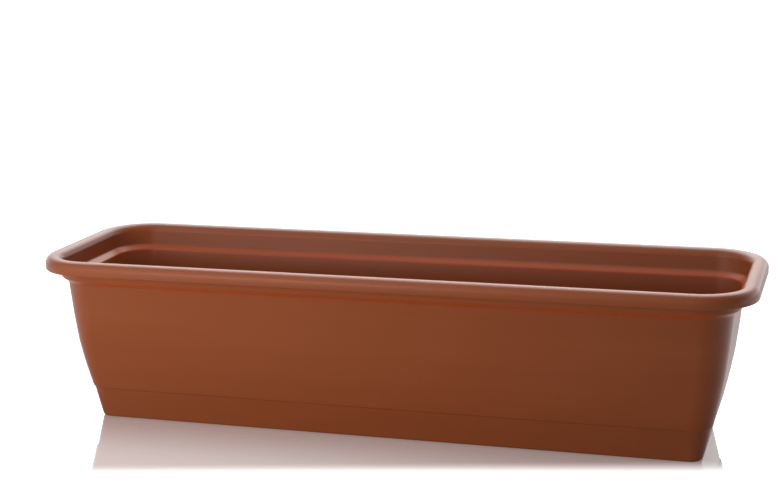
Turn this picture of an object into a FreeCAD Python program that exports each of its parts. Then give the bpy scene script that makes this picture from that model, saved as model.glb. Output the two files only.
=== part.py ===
import FreeCAD, Part
import math
import os
import Sketcher

# Window box planter, in millimetres.
# The trough is one thin-walled moulding: a wall of four flat facets that lean in more and more
# towards the foot, a recessed plinth, and a hollow rolled rim on a collar and a sloping shoulder.
# Push-in plugs close the drain holes in its floor from the inside.
# The origin is the centre of the footprint, on the ground. X runs along the box and Z points up.

SIZES = [
    # The rim, seen from above.
    ("trough_length", 600.0),
    ("trough_width", 184.0),
    ("rim_corner_radius", 46.5),
    # The moulding's own thicknesses.
    ("wall_thickness", 2.2),
    ("floor_thickness", 2.6),
    # The rolled rim and the collar under it.
    ("rim_height", 11.5),
    ("rim_overhang", 11.5),
    ("rim_crown_radius", 7.6),
    ("rim_inner_radius", 6.0),
    ("rim_lip_chamfer", 0.8),
    ("collar_height", 7.2),
    ("collar_draft", 1.5),
    ("shoulder_height", 4.0),
    ("shoulder_run", 5.5),
    ("ledge_lift", 1.0),
    # The wall's four facets, from the shoulder down, and the plinth.
    ("top_facet_height", 30.4),
    ("top_facet_lean_angle", 6.2),
    ("upper_facet_height", 22.8),
    ("upper_facet_lean_angle", 7.7),
    ("middle_facet_height", 18.3),
    ("middle_facet_lean_angle", 10.8),
    ("lower_facet_height", 22.7),
    ("lower_facet_lean_angle", 13.0),
    ("plinth_step_height", 0.8),
    ("plinth_step_depth", 1.2),
    ("plinth_height", 27.3),
    ("plinth_lean_angle", 13.5),
    ("foot_corner_radius", 9.0),
    ("foot_edge_chamfer", 1.8),
    ("floor_edge_chamfer", 1.6),
    # The raised floor panel inside the foot ring.
    ("foot_ring_width", 11.0),
    ("floor_rise", 3.0),
    ("panel_corner_radius", 8.0),
    # The drain holes and their plugs.
    ("drain_column_count", 4),
    ("drain_end_margin", 51.6),
    ("drain_row_spacing", 42.0),
    ("drain_hole_diameter", 8.0),
    ("drain_hole_clearance", 0.05),
    ("plug_head_diameter", 13.0),
    ("plug_head_thickness", 1.6),
    ("plug_stem_reach", 1.8),
    ("plug_tab_length", 9.0),
    ("plug_tab_height", 5.0),
    ("plug_tab_thickness", 1.8),
    ("plug_tab_corner_cut", 1.2),
]

DRAIN_ROWS = ("front", "back")


def make_size_sheet(doc):
    """Put every size in the sheet, with its name as the cell's alias."""
    sheet = doc.addObject("Spreadsheet::Sheet", "Sizes")
    for row, (name, value) in enumerate(SIZES, start=1):
        sheet.set("A%d" % row, name)
        sheet.set("B%d" % row, str(value))
        sheet.setAlias("B%d" % row, name)
    doc.recompute()
    return sheet


def size(name):
    """The expression that reads one size."""
    return "Sizes.%s" % name


def total(*terms):
    """The expression that adds its terms up."""
    return "(%s)" % " + ".join(terms)


def value_of(owner, expression):
    """The number that an expression gives now, for drawing a sketch close to its final shape."""
    result = owner.evalExpression(expression)
    return float(getattr(result, "Value", result))


# ---------------------------------------------------------------------------------------------
# Heights and insets. An inset is measured inwards, level, from the rim's outer face.
# ---------------------------------------------------------------------------------------------

PLINTH_TOP = size("plinth_height")
STEP_TOP = total(PLINTH_TOP, size("plinth_step_height"))
LOWER_EDGE = total(STEP_TOP, size("lower_facet_height"))
MIDDLE_EDGE = total(LOWER_EDGE, size("middle_facet_height"))
UPPER_EDGE = total(MIDDLE_EDGE, size("upper_facet_height"))
WALL_TOP = total(UPPER_EDGE, size("top_facet_height"))
SHOULDER_TOP = total(WALL_TOP, size("shoulder_height"))
RIM_BOTTOM = total(SHOULDER_TOP, size("collar_height"))
RIM_TOP = total(RIM_BOTTOM, size("rim_height"))

SHOULDER_INSET = total(size("rim_overhang"), size("collar_draft"))
WALL_TOP_INSET = total(SHOULDER_INSET, size("shoulder_run"))


def lean(facet):
    """How far a facet comes in from its top edge to its bottom edge."""
    return "Sizes.%s_height * tan(Sizes.%s_lean_angle)" % (facet, facet)


UPPER_INSET = total(WALL_TOP_INSET, lean("top_facet"))
MIDDLE_INSET = total(UPPER_INSET, lean("upper_facet"))
LOWER_INSET = total(MIDDLE_INSET, lean("middle_facet"))
STEP_INSET = total(LOWER_INSET, lean("lower_facet"))
PLINTH_INSET = total(STEP_INSET, size("plinth_step_depth"))
FOOT_INSET = total(PLINTH_INSET, lean("plinth"))

PLINTH_RADIUS = total(size("foot_corner_radius"), lean("plinth"))
STEP_RADIUS = total(PLINTH_RADIUS, size("plinth_step_depth"))
WALL_TOP_RADIUS = "(Sizes.rim_corner_radius - %s)" % WALL_TOP_INSET


def wall_radius(height):
    """The wall's plan radius, which grows evenly from the step up to the shoulder."""
    return "(%s + (%s - %s) * (%s - %s) / (%s - %s))" % (
        STEP_RADIUS, WALL_TOP_RADIUS, STEP_RADIUS, height, STEP_TOP, WALL_TOP, STEP_TOP)


WALL_LEVELS = [
    ("PlinthTop", PLINTH_TOP, PLINTH_INSET, PLINTH_RADIUS),
    ("StepTop", STEP_TOP, STEP_INSET, STEP_RADIUS),
    ("LowerEdge", LOWER_EDGE, LOWER_INSET, wall_radius(LOWER_EDGE)),
    ("MiddleEdge", MIDDLE_EDGE, MIDDLE_INSET, wall_radius(MIDDLE_EDGE)),
    ("UpperEdge", UPPER_EDGE, UPPER_INSET, wall_radius(UPPER_EDGE)),
    ("WallTop", WALL_TOP, WALL_TOP_INSET, WALL_TOP_RADIUS),
]

PANEL_TOP = total(size("floor_thickness"), size("floor_rise"))
DRAIN_SPAN = "(Sizes.trough_length - 2 * (%s + Sizes.drain_end_margin))" % FOOT_INSET


# ---------------------------------------------------------------------------------------------
# Sketching
# ---------------------------------------------------------------------------------------------

def origin_item(body, role):
    """One of the body's own origin planes or axes."""
    return [item for item in body.Origin.OriginFeatures if item.Role == role][0]


def new_sketch(body, name, plane, height=None):
    """A sketch on one of the body's origin planes, lifted by the given expression."""
    sketch = body.newObject("Sketcher::SketchObject", name)
    sketch.AttachmentSupport = (origin_item(body, plane), [""])
    sketch.MapMode = "FlatFace"
    if height:
        sketch.setExpression("AttachmentOffset.Base.z", height)
    return sketch


def hold_point(constraints, item, end, point, x, y):
    """Hold one end of an item at its distances from the sketch's origin.

    Returns the constraints' places in the list, each with the expression that drives it.
    """
    drivers = {len(constraints): x, len(constraints) + 1: y}
    constraints.append(Sketcher.Constraint("DistanceX", -1, 1, item, end, point.x))
    constraints.append(Sketcher.Constraint("DistanceY", -1, 1, item, end, point.y))
    return drivers


def add_constraints(sketch, constraints, drivers):
    """Add all constraints at once, then bind the ones that have an expression."""
    sketch.addConstraint(constraints)
    for number, expression in drivers.items():
        sketch.setExpression("Constraints[%d]" % number, expression)


def corner_arc(corner, start, end, radius):
    """The arc that rounds a corner, and which of its ends is the start."""
    bisector = (start - corner).normalize() + (end - corner).normalize()
    reach = math.hypot((start - corner).Length, radius)
    centre = corner + bisector.normalize() * reach
    turns_left = (start - centre).cross(end - centre).z > 0
    first, last = (start, end) if turns_left else (end, start)
    first_angle = math.atan2(first.y - centre.y, first.x - centre.x)
    last_angle = math.atan2(last.y - centre.y, last.x - centre.x)
    if last_angle < first_angle:
        last_angle += 2 * math.pi
    circle = Part.Circle(centre, FreeCAD.Vector(0, 0, 1), radius)
    return Part.ArcOfCircle(circle, first_angle, last_angle), (1 if turns_left else 2)


def draw_outline(sketch, corners):
    """Draw straight sides between corners given as (x, y, radius) expressions, all constrained.

    A corner with a radius is rounded by an arc that is tangent to both of its sides.
    """
    points = [FreeCAD.Vector(value_of(sketch, x), value_of(sketch, y), 0) for x, y, _ in corners]
    radii = [value_of(sketch, radius) if radius else 0.0 for _, _, radius in corners]
    starts = []
    ends = []
    for i, corner in enumerate(points):
        back = (points[i - 1] - corner).normalize()
        ahead = (points[(i + 1) % len(points)] - corner).normalize()
        trim = radii[i] / math.tan(back.getAngle(ahead) / 2)
        ends.append(corner + back * trim)
        starts.append(corner + ahead * trim)
    sides = [
        sketch.addGeometry(Part.LineSegment(starts[i - 1], ends[i]), False)
        for i in range(len(points))
    ]

    constraints = []
    drivers = {}
    for i, (x, y, radius) in enumerate(corners):
        side_in = sides[i]
        side_out = sides[(i + 1) % len(sides)]
        if radius:
            shape, first = corner_arc(points[i], ends[i], starts[i], radii[i])
            arc = sketch.addGeometry(shape, False)
            mark = sketch.addGeometry(Part.Point(points[i]), True)
            drivers[len(constraints)] = radius
            constraints.append(Sketcher.Constraint("Radius", arc, radii[i]))
            constraints.append(Sketcher.Constraint("Tangent", side_in, 2, arc, first))
            constraints.append(Sketcher.Constraint("Tangent", arc, 3 - first, side_out, 1))
            constraints.append(Sketcher.Constraint("PointOnObject", mark, 1, side_in))
            constraints.append(Sketcher.Constraint("PointOnObject", mark, 1, side_out))
            drivers.update(hold_point(constraints, mark, 1, points[i], x, y))
        else:
            constraints.append(Sketcher.Constraint("Coincident", side_in, 2, side_out, 1))
            drivers.update(hold_point(constraints, side_out, 1, points[i], x, y))
    add_constraints(sketch, constraints, drivers)


def rounded_rectangle(body, name, height, inset, radius):
    """A level outline that runs the given inset inside the rim's outer face."""
    sketch = new_sketch(body, name, "XY_Plane", height)
    half_length = "(Sizes.trough_length / 2 - %s)" % inset
    half_width = "(Sizes.trough_width / 2 - %s)" % inset
    draw_outline(sketch, [
        ("-" + half_length, "-" + half_width, radius),
        (half_length, "-" + half_width, radius),
        (half_length, half_width, radius),
        ("-" + half_length, half_width, radius),
    ])
    return sketch


def circle_sketch(body, name, height, x, y, radius):
    """A circle at the given place on a level plane."""
    sketch = new_sketch(body, name, "XY_Plane", height)
    centre = FreeCAD.Vector(value_of(sketch, x), value_of(sketch, y), 0)
    circle = Part.Circle(centre, FreeCAD.Vector(0, 0, 1), value_of(sketch, radius))
    item = sketch.addGeometry(circle, False)
    constraints = [Sketcher.Constraint("Radius", item, circle.Radius)]
    drivers = {0: radius}
    drivers.update(hold_point(constraints, item, 3, centre, x, y))
    add_constraints(sketch, constraints, drivers)
    return sketch


# ---------------------------------------------------------------------------------------------
# The trough
# ---------------------------------------------------------------------------------------------

def inside_of(radius):
    """A plan radius on the wall's inner face."""
    return "(%s - Sizes.wall_thickness)" % radius


def bevel_edges(body, name, height, amount):
    """Bevel the edges that lie flat at one height of the shape made so far."""
    body.Document.recompute()
    level = value_of(body, height) if height else 0.0
    names = []
    for number, edge in enumerate(body.Tip.Shape.Edges, start=1):
        box = edge.BoundBox
        if abs(box.ZMin - level) < 1e-6 and abs(box.ZMax - level) < 1e-6:
            names.append("Edge%d" % number)
    base = body.Tip
    bevel = body.newObject("PartDesign::Chamfer", name)
    bevel.Base = (base, names)
    bevel.setExpression("Size", amount)


def add_plinth(body):
    """The plinth: a block that widens upwards, hollowed from the top down to the floor."""
    foot = rounded_rectangle(body, "FootOutline", None, FOOT_INSET, size("foot_corner_radius"))
    block = body.newObject("PartDesign::Pad", "Plinth")
    block.Profile = foot
    block.setExpression("Length", size("plinth_height"))
    block.setExpression("TaperAngle", size("plinth_lean_angle"))
    bevel_edges(body, "FootEdge", None, size("foot_edge_chamfer"))

    mouth_inset = total(PLINTH_INSET, size("wall_thickness"))
    mouth = rounded_rectangle(body, "PlinthMouth", PLINTH_TOP, mouth_inset, inside_of(PLINTH_RADIUS))
    hollow = body.newObject("PartDesign::Pocket", "PlinthInside")
    hollow.Profile = mouth
    hollow.setExpression("Length", "Sizes.plinth_height - Sizes.floor_thickness")
    hollow.setExpression("TaperAngle", "-Sizes.plinth_lean_angle")
    bevel_edges(body, "FloorEdge", size("floor_thickness"), size("floor_edge_chamfer"))


def add_floor_panel(body):
    """Raise the floor inside the foot ring, and hollow it below by as much."""
    ring_inset = total(FOOT_INSET, size("foot_ring_width"))
    panel_inset = "(%s - Sizes.floor_thickness)" % ring_inset
    panel_radius = total(size("panel_corner_radius"), size("floor_thickness"))
    panel = rounded_rectangle(body, "PanelOutline", size("floor_thickness"), panel_inset, panel_radius)
    pad = body.newObject("PartDesign::Pad", "FloorPanel")
    pad.Profile = panel
    pad.setExpression("Length", size("floor_rise"))

    recess = rounded_rectangle(body, "RecessOutline", None, ring_inset, size("panel_corner_radius"))
    pocket = body.newObject("PartDesign::Pocket", "FloorRecess")
    pocket.Profile = recess
    pocket.Reversed = True
    pocket.setExpression("Length", size("floor_rise"))


def add_wall(body):
    """The faceted wall: a ruled loft of its outer outlines, hollowed by a loft one wall inside."""
    outlines = [
        rounded_rectangle(body, "Outside" + name, height, inset, radius)
        for name, height, inset, radius in WALL_LEVELS
    ]
    outside = body.newObject("PartDesign::AdditiveLoft", "WallOutside")
    outside.Profile = outlines[0]
    outside.Sections = outlines[1:]
    outside.Ruled = True

    thickness = size("wall_thickness")
    outlines = [
        rounded_rectangle(body, "Inside" + name, height, total(inset, thickness), inside_of(radius))
        for name, height, inset, radius in WALL_LEVELS
    ]
    inside = body.newObject("PartDesign::SubtractiveLoft", "WallInside")
    inside.Profile = outlines[0]
    inside.Sections = outlines[1:]
    inside.Ruled = True


def rim_section(body):
    """The wall's section from the shoulder up, drawn at the box's right-hand end.

    It goes up the rolled rim's outer face, over the crown, down the inside to the ledge that the
    shoulder makes, and back up the outside of the shoulder and the collar into the hollow rim.
    """
    def at(inset):
        return "(Sizes.trough_length / 2 - %s)" % inset

    thickness = size("wall_thickness")
    lip = size("rim_lip_chamfer")
    hollow_top = "(%s - Sizes.wall_thickness)" % RIM_TOP
    outer_cut = "((2 - sqrt(2)) * (Sizes.rim_crown_radius - Sizes.wall_thickness))"
    inner_cut = "((2 - sqrt(2)) * (Sizes.rim_inner_radius - Sizes.wall_thickness))"
    ledge_top = total(SHOULDER_TOP, size("ledge_lift"))
    ledge_foot = total(WALL_TOP, size("ledge_lift"))
    sketch = new_sketch(body, "RimSection", "XZ_Plane")
    draw_outline(sketch, [
        (at(lip), RIM_BOTTOM, None),
        (at("0"), total(RIM_BOTTOM, lip), None),
        (at("0"), RIM_TOP, size("rim_crown_radius")),
        (at(total(size("rim_overhang"), thickness)), RIM_TOP, size("rim_inner_radius")),
        (at(total(SHOULDER_INSET, thickness)), ledge_top, None),
        (at(total(WALL_TOP_INSET, thickness)), ledge_foot, None),
        (at(total(WALL_TOP_INSET, thickness)), WALL_TOP, None),
        (at(WALL_TOP_INSET), WALL_TOP, None),
        (at(SHOULDER_INSET), SHOULDER_TOP, None),
        (at(size("rim_overhang")), RIM_BOTTOM, None),
        (at(size("rim_overhang")), "(%s - %s)" % (hollow_top, inner_cut), None),
        (at("(Sizes.rim_overhang - %s)" % inner_cut), hollow_top, None),
        (at(total(thickness, outer_cut)), hollow_top, None),
        (at(thickness), "(%s - %s)" % (hollow_top, outer_cut), None),
        (at(thickness), RIM_BOTTOM, None),
    ])
    return sketch


def rim_path(body):
    """The rim's plan outline, which starts where the section is drawn."""
    sketch = new_sketch(body, "RimPath", "XY_Plane", RIM_TOP)
    half_length = "(Sizes.trough_length / 2)"
    half_width = "(Sizes.trough_width / 2)"
    radius = size("rim_corner_radius")
    draw_outline(sketch, [
        (half_length, "0", None),
        (half_length, half_width, radius),
        ("-" + half_length, half_width, radius),
        ("-" + half_length, "-" + half_width, radius),
        (half_length, "-" + half_width, radius),
    ])
    return sketch


def add_rim(body):
    """Sweep the rim's section round the box on top of the wall."""
    section = rim_section(body)
    path = rim_path(body)
    rim = body.newObject("PartDesign::AdditivePipe", "Rim")
    rim.Profile = section
    rim.Spine = path
    return rim


def drain_place(column, row):
    """The expressions for where one drain hole's axis stands on the floor."""
    x = "(%d / (Sizes.drain_column_count - 1) - 0.5) * %s" % (column, DRAIN_SPAN)
    y = "(%s0.5 * Sizes.drain_row_spacing)" % ("-" if row == "front" else "")
    return x, y


def add_drain_holes(body):
    """Cut one hole, and repeat it along and across the floor."""
    x, y = drain_place(0, "front")
    hole = body.newObject("PartDesign::Pocket", "DrainHole")
    hole.Profile = circle_sketch(body, "HoleCircle", PANEL_TOP, x, y, "Sizes.drain_hole_diameter / 2")
    hole.Type = "ThroughAll"

    pattern = body.newObject("PartDesign::LinearPattern", "DrainPattern")
    pattern.Originals = [hole]
    pattern.Direction = (origin_item(body, "X_Axis"), [""])
    pattern.setExpression("Length", DRAIN_SPAN)
    pattern.setExpression("Occurrences", size("drain_column_count"))
    pattern.Direction2 = (origin_item(body, "Y_Axis"), [""])
    pattern.setExpression("Length2", size("drain_row_spacing"))
    pattern.Occurrences2 = len(DRAIN_ROWS)
    body.Tip = pattern


def make_planter_body(doc):
    """The trough, one hollow moulding."""
    body = doc.addObject("PartDesign::Body", "PlanterBody")
    body.Label = "planter_body"
    add_plinth(body)
    add_floor_panel(body)
    add_drain_holes(body)
    add_wall(body)
    add_rim(body)
    return body


# ---------------------------------------------------------------------------------------------
# The drain plugs
# ---------------------------------------------------------------------------------------------

def add_plug_head_and_stem(body):
    """Turn the flat head and the stem from one half section."""
    head_radius = "(Sizes.plug_head_diameter / 2)"
    stem_radius = "(Sizes.drain_hole_diameter / 2 - Sizes.drain_hole_clearance)"
    stem_end = "(-(Sizes.floor_thickness + Sizes.plug_stem_reach))"
    sketch = new_sketch(body, "PlugSection", "XZ_Plane")
    draw_outline(sketch, [
        ("0", stem_end, None),
        (stem_radius, stem_end, None),
        (stem_radius, "0", None),
        (head_radius, "0", None),
        (head_radius, size("plug_head_thickness"), None),
        ("0", size("plug_head_thickness"), None),
    ])
    turned = body.newObject("PartDesign::Revolution", "HeadAndStem")
    turned.Profile = sketch
    turned.ReferenceAxis = (sketch, ["V_Axis"])
    turned.Angle = 360
    return turned


def add_plug_tab(body):
    """Stand the finger tab across the head."""
    half = "(Sizes.plug_tab_length / 2)"
    foot = size("plug_head_thickness")
    top = total(foot, size("plug_tab_height"))
    cut = size("plug_tab_corner_cut")
    sketch = new_sketch(body, "TabOutline", "XZ_Plane")
    draw_outline(sketch, [
        ("-" + half, foot, None),
        (half, foot, None),
        (half, "(%s - %s)" % (top, cut), None),
        ("(%s - %s)" % (half, cut), top, None),
        ("(%s - %s)" % (cut, half), top, None),
        ("-" + half, "(%s - %s)" % (top, cut), None),
    ])
    tab = body.newObject("PartDesign::Pad", "FingerTab")
    tab.Profile = sketch
    tab.SideType = "Symmetric"
    tab.setExpression("Length", size("plug_tab_thickness"))
    return tab


def make_drain_plug(doc, number, column, row):
    """One push-in plug, its head resting on the floor round its own drain hole."""
    body = doc.addObject("PartDesign::Body", "DrainPlug%d" % number)
    body.Label = "drain_plug_%d" % number
    add_plug_head_and_stem(body)
    add_plug_tab(body)
    x, y = drain_place(column, row)
    body.setExpression("Placement.Base.x", x)
    body.setExpression("Placement.Base.y", y)
    body.setExpression("Placement.Base.z", PANEL_TOP)
    return body


# ---------------------------------------------------------------------------------------------
# Building, checking and writing
# ---------------------------------------------------------------------------------------------

def check_document(doc, parts):
    """Stop unless every object is built and every piece is one valid solid."""
    for item in doc.Objects:
        if "Invalid" in item.State or "Error" in item.State:
            raise RuntimeError("%s failed: %s" % (item.Label, item.State))
    for part in parts:
        shape = part.Shape
        if shape.isNull() or not shape.isValid() or len(shape.Solids) != 1:
            raise RuntimeError("%s is not one valid solid" % part.Label)


def check_floor(trough, sheet):
    """Stop unless the drain holes go right through, by the area that is left of the floor panel."""
    level = value_of(sheet, "Sizes.floor_rise + Sizes.floor_thickness / 2")
    wires = trough.Shape.slice(FreeCAD.Vector(0, 0, 1), level)
    widest = 2 * value_of(sheet, "Sizes.drain_hole_diameter")
    holes = [wire for wire in wires if wire.BoundBox.XLength < widest]
    expected = len(DRAIN_ROWS) * int(value_of(sheet, "Sizes.drain_column_count"))
    if len(holes) != expected:
        raise RuntimeError("the floor has %d drain holes, not %d" % (len(holes), expected))


def main():
    doc = FreeCAD.newDocument("WindowBoxPlanter")
    sheet = make_size_sheet(doc)
    trough = make_planter_body(doc)
    parts = [trough]
    columns = int(value_of(sheet, "Sizes.drain_column_count"))
    for row in DRAIN_ROWS:
        for column in range(columns):
            parts.append(make_drain_plug(doc, len(parts), column, row))
    doc.recompute()
    check_document(doc, parts)
    check_floor(trough, sheet)

    os.makedirs("parts", exist_ok=True)
    for part in parts:
        part.Shape.exportStep("parts/%s.step" % part.Label)
        print("%-14s %9.1f mm3  %s" % (part.Label, part.Shape.Volume, part.Shape.BoundBox))


main()
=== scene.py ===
# %% [markdown]
# # A window box planter, step by step
# The CAD model is loaded first and stays as it is. It gives this lesson its frame: every size below
# is in metres, the box stands on z = 0, and its long side lies along X.

# %% Load the frame
import math

import bpy
from mathutils import Matrix, Vector


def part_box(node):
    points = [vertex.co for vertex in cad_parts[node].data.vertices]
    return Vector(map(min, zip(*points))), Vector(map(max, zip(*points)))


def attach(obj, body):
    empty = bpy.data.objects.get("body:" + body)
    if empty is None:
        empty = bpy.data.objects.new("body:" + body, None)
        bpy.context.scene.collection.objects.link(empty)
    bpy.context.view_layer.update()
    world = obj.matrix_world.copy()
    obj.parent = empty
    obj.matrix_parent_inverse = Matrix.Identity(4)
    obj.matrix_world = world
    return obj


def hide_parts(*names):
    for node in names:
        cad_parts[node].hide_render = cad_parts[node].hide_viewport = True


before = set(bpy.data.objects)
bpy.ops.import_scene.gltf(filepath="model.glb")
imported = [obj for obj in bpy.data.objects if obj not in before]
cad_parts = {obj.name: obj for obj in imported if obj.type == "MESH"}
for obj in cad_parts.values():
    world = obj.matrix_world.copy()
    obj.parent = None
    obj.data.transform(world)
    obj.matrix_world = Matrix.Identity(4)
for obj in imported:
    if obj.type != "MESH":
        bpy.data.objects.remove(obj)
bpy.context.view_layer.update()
trough_low, trough_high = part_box("planter_body")
print("trough from", tuple(trough_low), "to", tuple(trough_high))

# %% [markdown]
# ## The camera
# The picture was taken from the front and a little to the right, from a good metre away and above
# the rim. A long lens keeps the rim's lines almost parallel. The camera is built from its place, the
# direction it looks in and a small roll, so each of the three can be corrected by itself.

# %% Place the camera
PHOTO_WIDTH = 778
FOCAL_PIXELS = 1685.75
SENSOR_WIDTH = 36.0
FARTHEST_SEEN = 50.0
CAMERA_PLACE = Vector((0.38583, -1.32752, 0.44579))
CAMERA_YAW = -0.2893
CAMERA_PITCH = 0.2054
CAMERA_ROLL = -0.015


def camera_matrix(place, yaw, pitch, roll):
    """The camera's matrix from its place and its three angles, in radians."""
    level_ahead = Vector((math.sin(yaw), math.cos(yaw), 0.0))
    ahead = math.cos(pitch) * level_ahead - math.sin(pitch) * Vector((0.0, 0.0, 1.0))
    level = Vector((math.cos(yaw), -math.sin(yaw), 0.0))
    upright = level.cross(ahead)
    right = math.cos(roll) * level + math.sin(roll) * upright
    up = -math.sin(roll) * level + math.cos(roll) * upright
    turn = Matrix((right, up, -ahead)).transposed().to_4x4()
    return Matrix.Translation(place) @ turn


camera_data = bpy.data.cameras.new("photo_camera")
camera_data.sensor_width = SENSOR_WIDTH
camera_data.lens = FOCAL_PIXELS / PHOTO_WIDTH * SENSOR_WIDTH
camera_data.clip_end = FARTHEST_SEEN
camera = bpy.data.objects.new("photo_camera", camera_data)
camera.matrix_world = camera_matrix(CAMERA_PLACE, CAMERA_YAW, CAMERA_PITCH, CAMERA_ROLL)
bpy.context.scene.collection.objects.link(camera)
bpy.context.scene.camera = camera
print("lens %.1f mm, %.2f m from the box" % (camera_data.lens, CAMERA_PLACE.length))

# %% [markdown]
# ## Helpers for modelling
# Every outline of this box is a rectangle with round corners, laid level. A plane is added at its
# size, and its four corners are bevelled. Stacking such outlines and bridging each to the next gives
# a skin whose corner radius may change on the way up, which scaling one outline could not do.

# %% Helpers for outlines
MM = 0.001
HALF_LENGTH = trough_high.x
HALF_WIDTH = trough_high.y
CORNER_STEPS = 14


def deselect_all():
    """Nothing is selected and nothing is active, in object mode."""
    if bpy.context.object and bpy.context.object.mode != "OBJECT":
        bpy.ops.object.mode_set(mode="OBJECT")
    bpy.ops.object.select_all(action="DESELECT")
    bpy.context.view_layer.objects.active = None


def make_active(piece):
    """Select one object alone."""
    deselect_all()
    piece.select_set(True)
    bpy.context.view_layer.objects.active = piece


def add_outline(height, inset, radius):
    """Add one level outline as its own object, the given inset inside the rim, and return it."""
    deselect_all()
    bpy.ops.mesh.primitive_plane_add(size=1.0, location=(0.0, 0.0, height))
    outline = bpy.context.object
    outline.scale = (2 * (HALF_LENGTH - inset), 2 * (HALF_WIDTH - inset), 1.0)
    bpy.ops.object.transform_apply(location=True, rotation=True, scale=True)
    bpy.ops.object.mode_set(mode="EDIT")
    bpy.ops.mesh.select_all(action="SELECT")
    bpy.ops.mesh.bevel(
        offset=radius, offset_type="OFFSET", segments=CORNER_STEPS, affect="VERTICES")
    bpy.ops.mesh.select_all(action="SELECT")
    bpy.ops.mesh.delete(type="ONLY_FACE")
    bpy.ops.object.mode_set(mode="OBJECT")
    return outline


print("the rim is", round(2 * HALF_LENGTH, 4), "by", round(2 * HALF_WIDTH, 4), "m")

# %% [markdown]
# ## The section of the moulding
# The real box is one injection moulding, and its wall has the same thickness all over. Its heights
# are measured down from the rim, and its insets inwards from the rim's outer face. The wall has four
# facets, and each leans in more than the one above it, which gives the box its slightly bellied side.

# %% Heights and insets
WALL = 2.2 * MM
FLOOR = 2.6 * MM
CORNER_RADIUS = 46.5 * MM
FOOT_RADIUS = 9.0 * MM
PANEL_RADIUS = 8.0 * MM
FLOOR_RISE = 3.0 * MM
RING_WIDTH = 11.0 * MM
RIM_HEIGHT = 11.5 * MM
COLLAR_HEIGHT = 7.2 * MM
SHOULDER_HEIGHT = 4.0 * MM
UPPER_FACET, UPPER_LEAN = 30.4 * MM, 6.2
MIDDLE_FACET, MIDDLE_LEAN = 22.8 * MM, 7.7
LOWER_FACET, LOWER_LEAN = 18.3 * MM, 10.8
LAST_FACET, LAST_LEAN = 22.7 * MM, 13.0
STEP_HEIGHT = 0.8 * MM
STEP_DEPTH = 1.2 * MM
PLINTH_LEAN = 13.5
OVERHANG = 11.5 * MM
COLLAR_DEPTH = 1.5 * MM
SHOULDER_DEPTH = 5.5 * MM

RIM_TOP = trough_high.z
RIM_BOTTOM = RIM_TOP - RIM_HEIGHT
SHOULDER_TOP = RIM_BOTTOM - COLLAR_HEIGHT
WALL_TOP = SHOULDER_TOP - SHOULDER_HEIGHT
UPPER_EDGE = WALL_TOP - UPPER_FACET
MIDDLE_EDGE = UPPER_EDGE - MIDDLE_FACET
LOWER_EDGE = MIDDLE_EDGE - LOWER_FACET
STEP_TOP = LOWER_EDGE - LAST_FACET
PLINTH_TOP = STEP_TOP - STEP_HEIGHT


def leaned(inset, drop, degrees):
    """The inset at the lower end of a facet that leans in by the given angle."""
    return inset + drop * math.tan(math.radians(degrees))


SHOULDER_INSET = OVERHANG + COLLAR_DEPTH
WALL_INSET = SHOULDER_INSET + SHOULDER_DEPTH
UPPER_INSET = leaned(WALL_INSET, UPPER_FACET, UPPER_LEAN)
MIDDLE_INSET = leaned(UPPER_INSET, MIDDLE_FACET, MIDDLE_LEAN)
LOWER_INSET = leaned(MIDDLE_INSET, LOWER_FACET, LOWER_LEAN)
STEP_INSET = leaned(LOWER_INSET, LAST_FACET, LAST_LEAN)
PLINTH_INSET = STEP_INSET + STEP_DEPTH
FOOT_INSET = leaned(PLINTH_INSET, PLINTH_TOP, PLINTH_LEAN)
FLOOR_EDGE_INSET = leaned(FOOT_INSET + WALL, -FLOOR, PLINTH_LEAN)
RING_INSET = FOOT_INSET + RING_WIDTH
FLOOR_PANEL_INSET = RING_INSET - FLOOR
PLINTH_RADIUS = FOOT_RADIUS + FOOT_INSET - PLINTH_INSET
STEP_RADIUS = PLINTH_RADIUS + PLINTH_INSET - STEP_INSET
print("the foot is", round(2 * (HALF_LENGTH - FOOT_INSET), 4), "m long")

# %% [markdown]
# ## The outlines of the skin
# The list runs along the skin: from the middle of the underside out to the foot, up the wall, over
# the shoulder and the collar into the hollow rolled rim, round the rim, and down the inside to the
# floor. Each row is one outline: its height, its inset, its corner radius, and how much its edge is
# softened. Faces that look level slope by a hair, as they do on a moulding, and that also lets the
# bridge tool see which way is up.

# %% The outlines of the skin
SLOPE = 0.3 * MM
INNER_LIFT = 1.0 * MM
FOLD = 3.0 * MM
INNER_FOLD = 2.5 * MM
OUTER_CROWN = 6.6 * MM
INNER_CROWN = 6.4 * MM
HOLLOW_CROWN = OUTER_CROWN - WALL
HOLLOW_CORNER = 3.2 * MM


def wall_radius(height):
    """The wall's corner radius, which grows evenly from the step to the shoulder."""
    share = (height - STEP_TOP) / (WALL_TOP - STEP_TOP)
    return STEP_RADIUS + share * (CORNER_RADIUS - WALL_INSET - STEP_RADIUS)


def outside(height, inset, softening, radius=None):
    """One outline on the outside of the wall."""
    return (height, inset, wall_radius(height) if radius is None else radius, softening)


def inside(height, inset, softening, radius=None):
    """The same outline on the inside, one wall further in."""
    height, inset, radius, softening = outside(height, inset, softening, radius)
    return (height, inset + WALL, radius - WALL, softening)


def swept(height, inset, softening):
    """An outline of the rim, whose corners all turn about the same four centres."""
    return (height, inset, CORNER_RADIUS - inset, softening)


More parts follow.
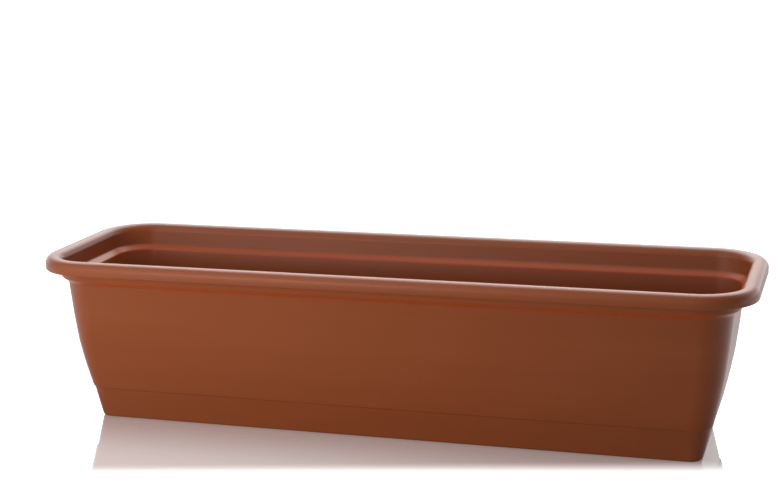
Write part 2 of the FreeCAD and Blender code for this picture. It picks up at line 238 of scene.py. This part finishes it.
SKIN = [
    (FLOOR_RISE, RING_INSET, PANEL_RADIUS, 0.0),
    (SLOPE, RING_INSET, PANEL_RADIUS, 0.6 * MM),
    (0.0, FOOT_INSET, FOOT_RADIUS, 2.2 * MM),
    outside(PLINTH_TOP, PLINTH_INSET, 0.35 * MM, PLINTH_RADIUS),
    outside(STEP_TOP, STEP_INSET, 0.5 * MM),
    outside(LOWER_EDGE, LOWER_INSET, FOLD),
    outside(MIDDLE_EDGE, MIDDLE_INSET, FOLD),
    outside(UPPER_EDGE, UPPER_INSET, FOLD),
    swept(WALL_TOP, WALL_INSET, 1.2 * MM),
    swept(SHOULDER_TOP, SHOULDER_INSET, 1.0 * MM),
    swept(RIM_BOTTOM, OVERHANG, 0.0),
    swept(RIM_TOP - WALL, OVERHANG, HOLLOW_CORNER),
    swept(RIM_TOP - WALL - SLOPE, WALL, HOLLOW_CROWN),
    swept(RIM_BOTTOM + SLOPE, WALL, 0.5 * MM),
    swept(RIM_BOTTOM, 0.0, 0.9 * MM),
    swept(RIM_TOP, 0.0, OUTER_CROWN),
    swept(RIM_TOP - SLOPE, OVERHANG + WALL, INNER_CROWN),
    swept(SHOULDER_TOP + INNER_LIFT, SHOULDER_INSET + WALL, 0.9 * MM),
    swept(WALL_TOP + INNER_LIFT, WALL_INSET + WALL, 0.9 * MM),
    inside(UPPER_EDGE, UPPER_INSET, INNER_FOLD),
    inside(MIDDLE_EDGE, MIDDLE_INSET, INNER_FOLD),
    inside(LOWER_EDGE, LOWER_INSET, INNER_FOLD),
    inside(STEP_TOP, STEP_INSET, 0.4 * MM),
    inside(PLINTH_TOP, PLINTH_INSET, 0.4 * MM, PLINTH_RADIUS),
    (FLOOR + SLOPE, FLOOR_EDGE_INSET, FOOT_RADIUS, 2.0 * MM),
    (FLOOR, FLOOR_PANEL_INSET, PANEL_RADIUS + FLOOR, 0.6 * MM),
    (FLOOR + FLOOR_RISE, FLOOR_PANEL_INSET, PANEL_RADIUS + FLOOR, 0.6 * MM),
]
print(len(SKIN), "outlines")

# %% [markdown]
# ## Stacking the outlines into the moulding
# Each outline is joined to the trough and bridged to the one before it. Both have the same number of
# points, so the faces between them are clean strips of four-sided faces. The two ends of the skin,
# in the middle of the floor, are closed last.

# %% Helpers for finding and bridging outlines
OUTLINE_POINTS = 4 * (CORNER_STEPS + 1)
NEAR = 0.01 * MM


def on_outline(point, height, inset, radius):
    """Whether a point lies on the outline with this height, inset and corner radius."""
    past_x = abs(point.x) - (HALF_LENGTH - inset - radius)
    past_y = abs(point.y) - (HALF_WIDTH - inset - radius)
    reach = math.hypot(max(past_x, 0.0), max(past_y, 0.0))
    return abs(point.z - height) < NEAR and abs(reach - radius) < NEAR


def select_outline(piece, height, inset, radius):
    """In object mode, select exactly the edges of one outline of the piece."""
    for item in (piece.data.polygons, piece.data.edges, piece.data.vertices):
        item.foreach_set("select", [False] * len(item))
    for edge in piece.data.edges:
        ends = [piece.data.vertices[number] for number in edge.vertices]
        if all(on_outline(end.co, height, inset, radius) for end in ends):
            edge.select = True
            for end in ends:
                end.select = True


def select_last_outline(piece):
    """In object mode, select the outline that was added last."""
    first = len(piece.data.vertices) - OUTLINE_POINTS
    piece.data.polygons.foreach_set("select", [False] * len(piece.data.polygons))
    for vertex in piece.data.vertices:
        vertex.select = vertex.index >= first
    for edge in piece.data.edges:
        edge.select = min(edge.vertices) >= first


def bridge_to(piece, outline):
    """Join an outline to the piece and fill the strip between it and the outline before it."""
    select_last_outline(piece)
    select_last_outline(outline)
    make_active(piece)
    outline.select_set(True)
    bpy.ops.object.join()
    bpy.ops.object.mode_set(mode="EDIT")
    bpy.ops.mesh.select_mode(type="EDGE")
    bpy.ops.mesh.bridge_edge_loops()
    bpy.ops.object.mode_set(mode="OBJECT")


def close_loop(piece, height, inset, radius):
    """Fill one outline of the piece with a single face."""
    select_outline(piece, height, inset, radius)
    make_active(piece)
    bpy.ops.object.mode_set(mode="EDIT")
    bpy.ops.mesh.select_mode(type="EDGE")
    bpy.ops.mesh.edge_face_add()
    bpy.ops.object.mode_set(mode="OBJECT")


print(OUTLINE_POINTS, "points in each outline")

# %% Bridge the skin
first_height, first_inset, first_radius, _ = SKIN[0]
trough = add_outline(first_height, first_inset, first_radius)
trough.name = "trough_moulding"
for height, inset, radius, _ in SKIN[1:]:
    bridge_to(trough, add_outline(height, inset, radius))
for height, inset, radius, _ in (SKIN[0], SKIN[-1]):
    close_loop(trough, height, inset, radius)
make_active(trough)
bpy.ops.object.mode_set(mode="EDIT")
bpy.ops.mesh.select_all(action="SELECT")
bpy.ops.mesh.normals_make_consistent(inside=False)
bpy.ops.object.mode_set(mode="OBJECT")
print("skin:", len(trough.data.vertices), "points,", len(trough.data.polygons), "faces")

# %% [markdown]
# ## Softening the edges
# No edge of a moulding is sharp, and it is the small radii that catch the light. Each outline with a
# softening is selected by its place and bevelled as a ring. A wide bevel on the shallow folds between
# the facets makes them the faint bands that they are, and a wide one on each side of the rim's top
# leaves the rolled crown.

# %% Bevel ring by ring
SEGMENT_LENGTH = 0.9 * MM
FEWEST_SEGMENTS = 2
MOST_SEGMENTS = 9

for height, inset, radius, softening in SKIN:
    if not softening:
        continue
    select_outline(trough, height, inset, radius)
    make_active(trough)
    bpy.ops.object.mode_set(mode="EDIT")
    bpy.ops.mesh.select_mode(type="EDGE")
    segments = min(MOST_SEGMENTS, FEWEST_SEGMENTS + round(softening / SEGMENT_LENGTH))
    bpy.ops.mesh.bevel(
        offset=softening, offset_type="OFFSET", segments=segments, affect="EDGES")
    bpy.ops.object.mode_set(mode="OBJECT")
print("softened:", len(trough.data.vertices), "points,", len(trough.data.polygons), "faces")

# %% [markdown]
# ## The drain holes
# The mould has a pin where each hole is. Here a round cutter stands where each CAD plug is, and one
# Boolean takes them all out of the floor, so the holes and the plugs always agree.

# %% Cut the drain holes
HOLE_RADIUS = 4.0 * MM
HOLE_SIDES = 48
CUTTER_DEPTH = 20.0 * MM

plug_names = sorted(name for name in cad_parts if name.startswith("drain_plug"))
cutters = []
for name in plug_names:
    low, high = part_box(name)
    deselect_all()
    bpy.ops.mesh.primitive_cylinder_add(
        vertices=HOLE_SIDES, radius=HOLE_RADIUS, depth=CUTTER_DEPTH,
        location=((low[0] + high[0]) / 2, (low[1] + high[1]) / 2, FLOOR))
    cutters.append(bpy.context.object)
make_active(cutters[0])
for cutter in cutters[1:]:
    cutter.select_set(True)
bpy.ops.object.join()
cutter = bpy.context.object
cut = trough.modifiers.new("drain_holes", "BOOLEAN")
cut.operation = "DIFFERENCE"
cut.solver = "EXACT"
cut.object = cutter
make_active(trough)
bpy.ops.object.modifier_apply(modifier=cut.name)
make_active(cutter)
bpy.ops.object.delete()
print("holes cut:", len(trough.data.vertices), "points")

# %% [markdown]
# ## In place of the CAD trough
# Folds of more than the given angle stay crisp, and the rest of the skin is shaded as smooth. The
# moulding then takes the CAD trough's place, and moves with its body.

# %% Shade the moulding and hand it its place
SMOOTH_DEGREES = 28

make_active(trough)
bpy.ops.object.shade_smooth_by_angle(angle=math.radians(SMOOTH_DEGREES))
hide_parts("planter_body")
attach(trough, "trough")
print(trough.name, "stands for planter_body")

# %% [markdown]
# ## Helpers for materials
# A material is a small graph, and so is the light of the room. This helper adds a node, fills its
# inputs and hands on its output in one call, so that a finish below reads from top to bottom.

# %% A graph of nodes
class Graph:
    """The nodes and links of one material or world."""

    def __init__(self, tree):
        self.nodes = tree.nodes
        self.links = tree.links

    def fill(self, node, inputs):
        """Give each input its fixed value, or link it to the output that drives it."""
        for name, value in inputs.items():
            if isinstance(value, bpy.types.NodeSocket):
                self.links.new(value, node.inputs[name])
            else:
                node.inputs[name].default_value = value

    def step(self, kind, inputs, output, **settings):
        """Add one node with its settings and inputs, and return one of its outputs."""
        node = self.nodes.new(kind)
        for name, value in settings.items():
            setattr(node, name, value)
        self.fill(node, inputs)
        return node.outputs[output]

    def object_points(self, stretch=(1.0, 1.0, 1.0)):
        """The point on the piece, in metres, stretched by the given factors."""
        points = self.step("ShaderNodeTexCoord", {}, "Object")
        return self.step("ShaderNodeMapping", {"Vector": points, "Scale": stretch}, "Vector")

    def axis(self, vector, name):
        """One coordinate of a vector."""
        return self.step("ShaderNodeSeparateXYZ", {"Vector": vector}, name)

    def noise(self, points, scale, detail=2.0):
        """A noise value at the given points."""
        inputs = {"Vector": points, "Scale": scale, "Detail": detail}
        return self.step("ShaderNodeTexNoise", inputs, "Fac")

    def ramp(self, value, stops):
        """A colour or grey that the value picks out of a few stops, each a place and a colour."""
        node = self.nodes.new("ShaderNodeValToRGB")
        elements = node.color_ramp.elements
        while len(elements) < len(stops):
            elements.new(0.5)
        for element, (place, colour) in zip(elements, stops):
            element.position = place
            element.color = colour
        self.fill(node, {"Fac": value})
        return node.outputs["Color"]

    def carry(self, value, source, target=(0.0, 1.0), smooth=False):
        """The value carried from one range to another, in a straight line or in a smooth step."""
        inputs = {"Value": value, "From Min": source[0], "From Max": source[1],
                  "To Min": target[0], "To Max": target[1]}
        shape = "SMOOTHSTEP" if smooth else "LINEAR"
        return self.step("ShaderNodeMapRange", inputs, "Result", interpolation_type=shape)

    def maths(self, operation, *values):
        """One or two values put through one sum."""
        inputs = dict(enumerate(values))
        return self.step("ShaderNodeMath", inputs, "Value", operation=operation)

    def vector_maths(self, operation, output, *vectors):
        """One or two vectors put through one sum."""
        inputs = dict(enumerate(vectors))
        return self.step("ShaderNodeVectorMath", inputs, output, operation=operation)

    def blend(self, share, low, high):
        """A value that goes from low to high with the share."""
        return self.step("ShaderNodeMix", {"Factor": share, "A": low, "B": high}, "Result")

    def bumped(self, height, distance, strength):
        """A normal that a height has tilted."""
        inputs = {"Height": height, "Distance": distance, "Strength": strength}
        return self.step("ShaderNodeBump", inputs, "Normal")


print("node helpers:", [name for name in vars(Graph) if not name.startswith("_")])

# %% Materials and colours
def new_material(name):
    """An empty node material, its graph and its Principled shader."""
    material = bpy.data.materials.new(name)
    material.use_nodes = True
    graph = Graph(material.node_tree)
    return material, graph, graph.nodes["Principled BSDF"]


def srgb(red, green, blue):
    """A colour as the shader wants it, from its 0 to 255 screen values."""
    def linear(value):
        value /= 255
        return value / 12.92 if value <= 0.04045 else ((value + 0.055) / 1.055) ** 2.4
    return (linear(red), linear(green), linear(blue), 1.0)


def grey(level):
    """A grey, also for a ramp that drives roughness."""
    return (level, level, level, 1.0)


WHITE = grey(1.0)
print("a mid terracotta in the shader's own scale:", srgb(138, 71, 38))

# %% [markdown]
# ## Terracotta-coloured polypropylene
# The moulding is dyed through, in the brown-red of fired clay. Its skin has a fine, even grain from
# the mould, so it shines softly and never mirrors. Melted plastic flows along the box as it fills,
# which leaves long, very faint streaks in the colour, and the sheen varies a little in patches. The
# shoulder's band is redder and brighter than the wall above and below it, inside and outside alike,
# because the ledge inside catches the overhead light and it shows through the thin wall. That light
# is painted: the colour is raised there by its height on the box.

# %% The trough's plastic
STREAK_STRETCH = (3.0, 9.0, 60.0)
STREAK_DARK = srgb(134, 67, 36)
STREAK_PALE = srgb(143, 75, 41)
NOISE_DETAIL = 3.0
# Painted light: the shoulder band's colour is raised for the overhead light that the ledge catches.
PAINTED_LIGHT_BAND = (WALL_TOP - 0.8 * MM, SHOULDER_TOP + 1.0 * MM)
SHOULDER_PAINTED_LIGHT = (1.50, 1.12, 0.97, 1.0)
PATCHES_PER_METRE = 14.0
GRAINS_PER_METRE = 1500.0
GRAIN_DEPTH = 0.04 * MM
GRAIN_STRENGTH = 0.6


def make_terracotta():
    """The trough's plastic: streaked colour, painted light on the shoulder, patchy sheen and a fine
    grain.
    """
    material, graph, shader = new_material("terracotta_plastic_with_painted_light")
    streaks = graph.noise(graph.object_points(STREAK_STRETCH), 1.0, NOISE_DETAIL)
    colour = graph.ramp(streaks, [(0.0, STREAK_DARK), (1.0, STREAK_PALE)])
    up_the_band = graph.carry(graph.axis(graph.object_points(), "Z"), PAINTED_LIGHT_BAND)
    # Painted light on the shoulder band, picked out by height on the box.
    painted_shoulder_light = graph.ramp(up_the_band, [
        (0.0, WHITE), (0.3, SHOULDER_PAINTED_LIGHT), (0.7, SHOULDER_PAINTED_LIGHT), (1.0, WHITE)])
    patches = graph.noise(graph.object_points(), PATCHES_PER_METRE, NOISE_DETAIL)
    grain = graph.noise(graph.object_points(), GRAINS_PER_METRE)
    graph.fill(shader, {
        "Base Color": graph.vector_maths("MULTIPLY", "Vector", colour, painted_shoulder_light),
        "Roughness": graph.ramp(patches, [(0.0, grey(0.27)), (1.0, grey(0.31))]),
        "Normal": graph.bumped(grain, GRAIN_DEPTH, GRAIN_STRENGTH),
    })
    return material


trough.data.materials.clear()
trough.data.materials.append(make_terracotta())
print("redder band from", round(PAINTED_LIGHT_BAND[0], 4), "to", round(PAINTED_LIGHT_BAND[1], 4), "m")

# %% [markdown]
# ## The plugs' plastic
# The plugs are another moulding, from another mould and another batch of plastic. They are a little
# darker and duller than the trough, so they can be found in it. The CAD plugs already have every form
# that shows, so they stay and only get this finish.

# %% The plugs' plastic
TINTS_PER_METRE = 60.0
PLUG_DARK = srgb(112, 57, 36)
PLUG_PALE = srgb(120, 62, 40)
PLUG_GRAIN_DEPTH = 0.03 * MM
PLUG_GRAIN_STRENGTH = 0.5


def make_plug_plastic():
    """The plugs' plastic: one noise for both the colour and the sheen, and a fine grain."""
    material, graph, shader = new_material("plug_plastic_finish")
    tint = graph.noise(graph.object_points(), TINTS_PER_METRE)
    grain = graph.noise(graph.object_points(), GRAINS_PER_METRE)
    graph.fill(shader, {
        "Base Color": graph.ramp(tint, [(0.3, PLUG_DARK), (0.7, PLUG_PALE)]),
        "Roughness": graph.ramp(tint, [(0.3, grey(0.45)), (0.7, grey(0.55))]),
        "Normal": graph.bumped(grain, PLUG_GRAIN_DEPTH, PLUG_GRAIN_STRENGTH),
    })
    return material


plug_plastic = make_plug_plastic()
for name in plug_names:
    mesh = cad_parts[name].data
    mesh.materials.clear()
    mesh.materials.append(plug_plastic)
print("plugs:", len(plug_names))

# %% [markdown]
# ## The floor
# The box stands on a glossy white sheet. The floor is a mirror-smooth coat over white. The coat lies
# round the box and fades out on all sides, so the picture ends in plain white below the reflection.
# Only the camera sees the floor white. The box is lit by a greyer one, because light thrown up from a
# white floor would wash out the lower wall, which is deep and dark in the picture. For the same
# reason the box's own gloss finds a painted shade spot in the floor in front of it, and painted light
# that is brighter to the left, towards the key light, and pale behind the box.

# %% Lay the floor
FLOOR_SIZE = 12.0

deselect_all()
bpy.ops.mesh.primitive_plane_add(size=FLOOR_SIZE, location=(0.0, 0.0, 0.0))
floor = bpy.context.object
floor.name = "floor"
print("floor", FLOOR_SIZE, "m square")

# %% The floor's white
MIRROR_NEAR, NEAR_LINE = 0.75, -0.05
MIRROR_FAR, FAR_LINE = 0.57, -0.13
FRONT_TURN = -0.2646
FRONT_FADE = (-0.1435, -0.1075)
BACK_FADE = (0.3, 0.09)
SIDE_FADE = (0.55, 0.34)
MIRROR_ROUGHNESS = 0.02
FLOOR_ROUGHNESS = 0.9
SEEN_TONE, LIGHTING_TONE, GLOSS_TONE = 0.8, 0.54, 0.05
WHITE_UNDER_MIRROR = 0.6
# Painted shade: a dark spot in the floor in front of the box, seen only in the box's gloss.
PAINTED_SHADE_PLACE = (0.0, -0.2, 0.0)
PAINTED_SHADE_SIZE = (0.31, 0.16, 1.0)
PAINTED_SHADE_EDGE = (0.9, 2.0)
# Painted light in the floor's gloss: brighter to the left, towards the key light, and pale behind.
FRONT_ACROSS, FRONT_WHITE = (-0.4, 0.2), (0.7, 0.1)
TO_BACK, BACK_WHITE = (-0.3, 0.2), 0.85


def mirror_patch(graph, place):
    """Where the floor mirrors: 1 round the box and 0 away from it."""
    ahead = (math.sin(FRONT_TURN), math.cos(FRONT_TURN), 0.0)
    depth = graph.vector_maths("DOT_PRODUCT", "Value", place, ahead)
    off_centre = graph.maths("ABSOLUTE", graph.axis(place, "X"))
    front = graph.carry(depth, FRONT_FADE, smooth=True)
    back = graph.carry(graph.axis(place, "Y"), BACK_FADE, smooth=True)
    side = graph.carry(off_centre, SIDE_FADE, smooth=True)
    return graph.maths("MULTIPLY", graph.maths("MULTIPLY", front, back), side)


def painted_floor_light_in_gloss(graph, place):
    """Painted light and shade in the floor as the box's gloss finds it: a painted shade spot in front
    of the box, painted light brighter to the left, and pale behind it.
    """
    spot = graph.step("ShaderNodeMapping", {
        "Vector": place, "Location": PAINTED_SHADE_PLACE, "Scale": PAINTED_SHADE_SIZE,
    }, "Vector", vector_type="TEXTURE")
    from_spot = graph.vector_maths("LENGTH", "Value", spot)
    off_spot = graph.carry(from_spot, PAINTED_SHADE_EDGE, smooth=True)
    front = graph.carry(graph.axis(place, "X"), FRONT_ACROSS, FRONT_WHITE)
    to_back = graph.carry(graph.axis(place, "Y"), TO_BACK)
    return graph.maths("MULTIPLY", graph.blend(to_back, front, BACK_WHITE), off_spot)


def make_floor_white():
    """A white sheet, with a mirror-smooth coat round the box that only the camera sees."""
    material, graph, shader = new_material("floor_white")
    rays = graph.nodes.new("ShaderNodeLightPath").outputs
    place = graph.step("ShaderNodeTexCoord", {}, "Object")
    patch = mirror_patch(graph, place)
    thinning = graph.carry(
        graph.axis(place, "Y"), (FAR_LINE, NEAR_LINE), (MIRROR_FAR, MIRROR_NEAR))
    share = graph.maths(
        "MULTIPLY", graph.maths("MULTIPLY", thinning, patch), rays["Is Camera Ray"])
    unseen_tone = graph.blend(rays["Is Diffuse Ray"], GLOSS_TONE, LIGHTING_TONE)
    seen_white = graph.blend(patch, 1.0, WHITE_UNDER_MIRROR)
    painted_light_in_gloss = graph.maths(
        "MULTIPLY", painted_floor_light_in_gloss(graph, place), rays["Is Glossy Ray"])
    graph.fill(shader, {
        "Base Color": graph.blend(rays["Is Camera Ray"], unseen_tone, SEEN_TONE),
        "Roughness": FLOOR_ROUGHNESS,
        "Specular IOR Level": 0.0,
        "Emission Color": WHITE,
        "Emission Strength": graph.blend(rays["Is Camera Ray"], painted_light_in_gloss, seen_white),
    })
    coat = graph.step(
        "ShaderNodeBsdfGlossy", {"Color": WHITE, "Roughness": MIRROR_ROUGHNESS}, "BSDF")
    surface = graph.step(
        "ShaderNodeMixShader", {"Fac": share, 1: shader.outputs["BSDF"], 2: coat}, "Shader")
    graph.fill(graph.nodes["Material Output"], {"Surface": surface})
    return material


floor.data.materials.append(make_floor_white())
print("mirror gone", BACK_FADE[0], "m behind the middle of the box")

# %% [markdown]
# ## The lamps
# The key light stands low in front and to the left, so the wall darkens towards the right. A weak one
# lights the right end, a wide one overhead lights the inside, and one behind the box keeps its back
# wall from going black. None of them shows in gloss, where the room itself is seen.

# %% Hang the lamps
LAMPS = [
    # name, place, target, side of the square, watts
    ("front_left_light", (-0.42, -0.93, 0.27), (-0.1, 0.0, 0.08), 0.4, 7.6),
    ("right_light", (1.2, 0.1, 0.14), (0.25, 0.0, 0.08), 0.5, 2.8),
    ("overhead_light", (0.0, 0.15, 1.3), (0.0, 0.0, 0.1), 1.0, 9.5),
    ("back_light", (-0.5, 1.4, 0.3), (0.0, 0.1, 0.07), 0.6, 5.0),
]


def add_area_light(name, place, target, size, power):
    """A square soft light at a place, turned to its target."""
    data = bpy.data.lights.new(name, "AREA")
    data.shape = "SQUARE"
    data.size = size
    data.energy = power
    light = bpy.data.objects.new(name, data)
    light.location = place
    light.visible_glossy = False
    aim = Vector(target) - Vector(place)
    light.rotation_euler = aim.to_track_quat("-Z", "Y").to_euler()
    bpy.context.scene.collection.objects.link(light)


for lamp in LAMPS:
    add_area_light(*lamp)
print(len(LAMPS), "lamps")

# %% [markdown]
# ## The studio round it
# The camera sees a white room. In gloss the room is white behind the box, where the backdrop hangs,
# and dimmer in front, where a studio is dark, so the rim shines and the front wall keeps its depth.
# A soft box high behind draws the bright line along the rim's crown.

# %% The world
WORLD_FILL = 0.06
LEFTWARDS, FRONT_GLOSS = (-0.25, -0.08), (1.2, 0.25)
TO_SIDE, SIDE_SHARE = (-1.0, 0.0), (1.0, 0.3)
BEHIND, BACK_GLOSS = (0.0, 0.8), 1.25
HORIZON_EDGE, HORIZON_GLOSS = (0.02, 0.2), 0.8
SOFTBOX_DIRECTION = (-0.15, 0.63, 0.76)
SOFTBOX_EDGE, SOFTBOX_GLOSS = (0.78, 0.95), 2.8


def room_in_gloss(graph, direction):
    """How bright the room is in gloss, in each direction."""
    across, along = graph.axis(direction, "X"), graph.axis(direction, "Y")
    behind = graph.carry(along, BEHIND, smooth=True)
    front = graph.maths(
        "MULTIPLY", graph.carry(across, LEFTWARDS, FRONT_GLOSS),
        graph.carry(along, TO_SIDE, SIDE_SHARE))
    low = graph.carry(
        graph.axis(direction, "Z"), HORIZON_EDGE, (HORIZON_GLOSS, 0.0), smooth=True)
    towards = graph.vector_maths("DOT_PRODUCT", "Value", direction, SOFTBOX_DIRECTION)
    softbox = graph.carry(towards, SOFTBOX_EDGE, (0.0, SOFTBOX_GLOSS), smooth=True)
    room = graph.maths("ADD", graph.blend(behind, front, BACK_GLOSS), softbox)
    return graph.maths("ADD", room, graph.maths("MULTIPLY", low, behind))


def make_studio():
    """The world: white to the camera, a lit room in gloss, and a dim fill for everything else."""
    world = bpy.data.worlds.new("studio")
    world.use_nodes = True
    graph = Graph(world.node_tree)
    rays = graph.nodes.new("ShaderNodeLightPath").outputs
    direction = graph.step("ShaderNodeTexCoord", {}, "Generated")
    in_gloss = room_in_gloss(graph, direction)
    unseen = graph.blend(rays["Is Glossy Ray"], WORLD_FILL, in_gloss)
    strength = graph.blend(rays["Is Camera Ray"], unseen, 1.0)
    graph.fill(graph.nodes["Background"], {"Color": WHITE, "Strength": strength})
    return world


bpy.context.scene.world = make_studio()
bpy.context.scene.view_settings.view_transform = "Standard"
print("view:", bpy.context.scene.view_settings.view_transform)

# %% [markdown]
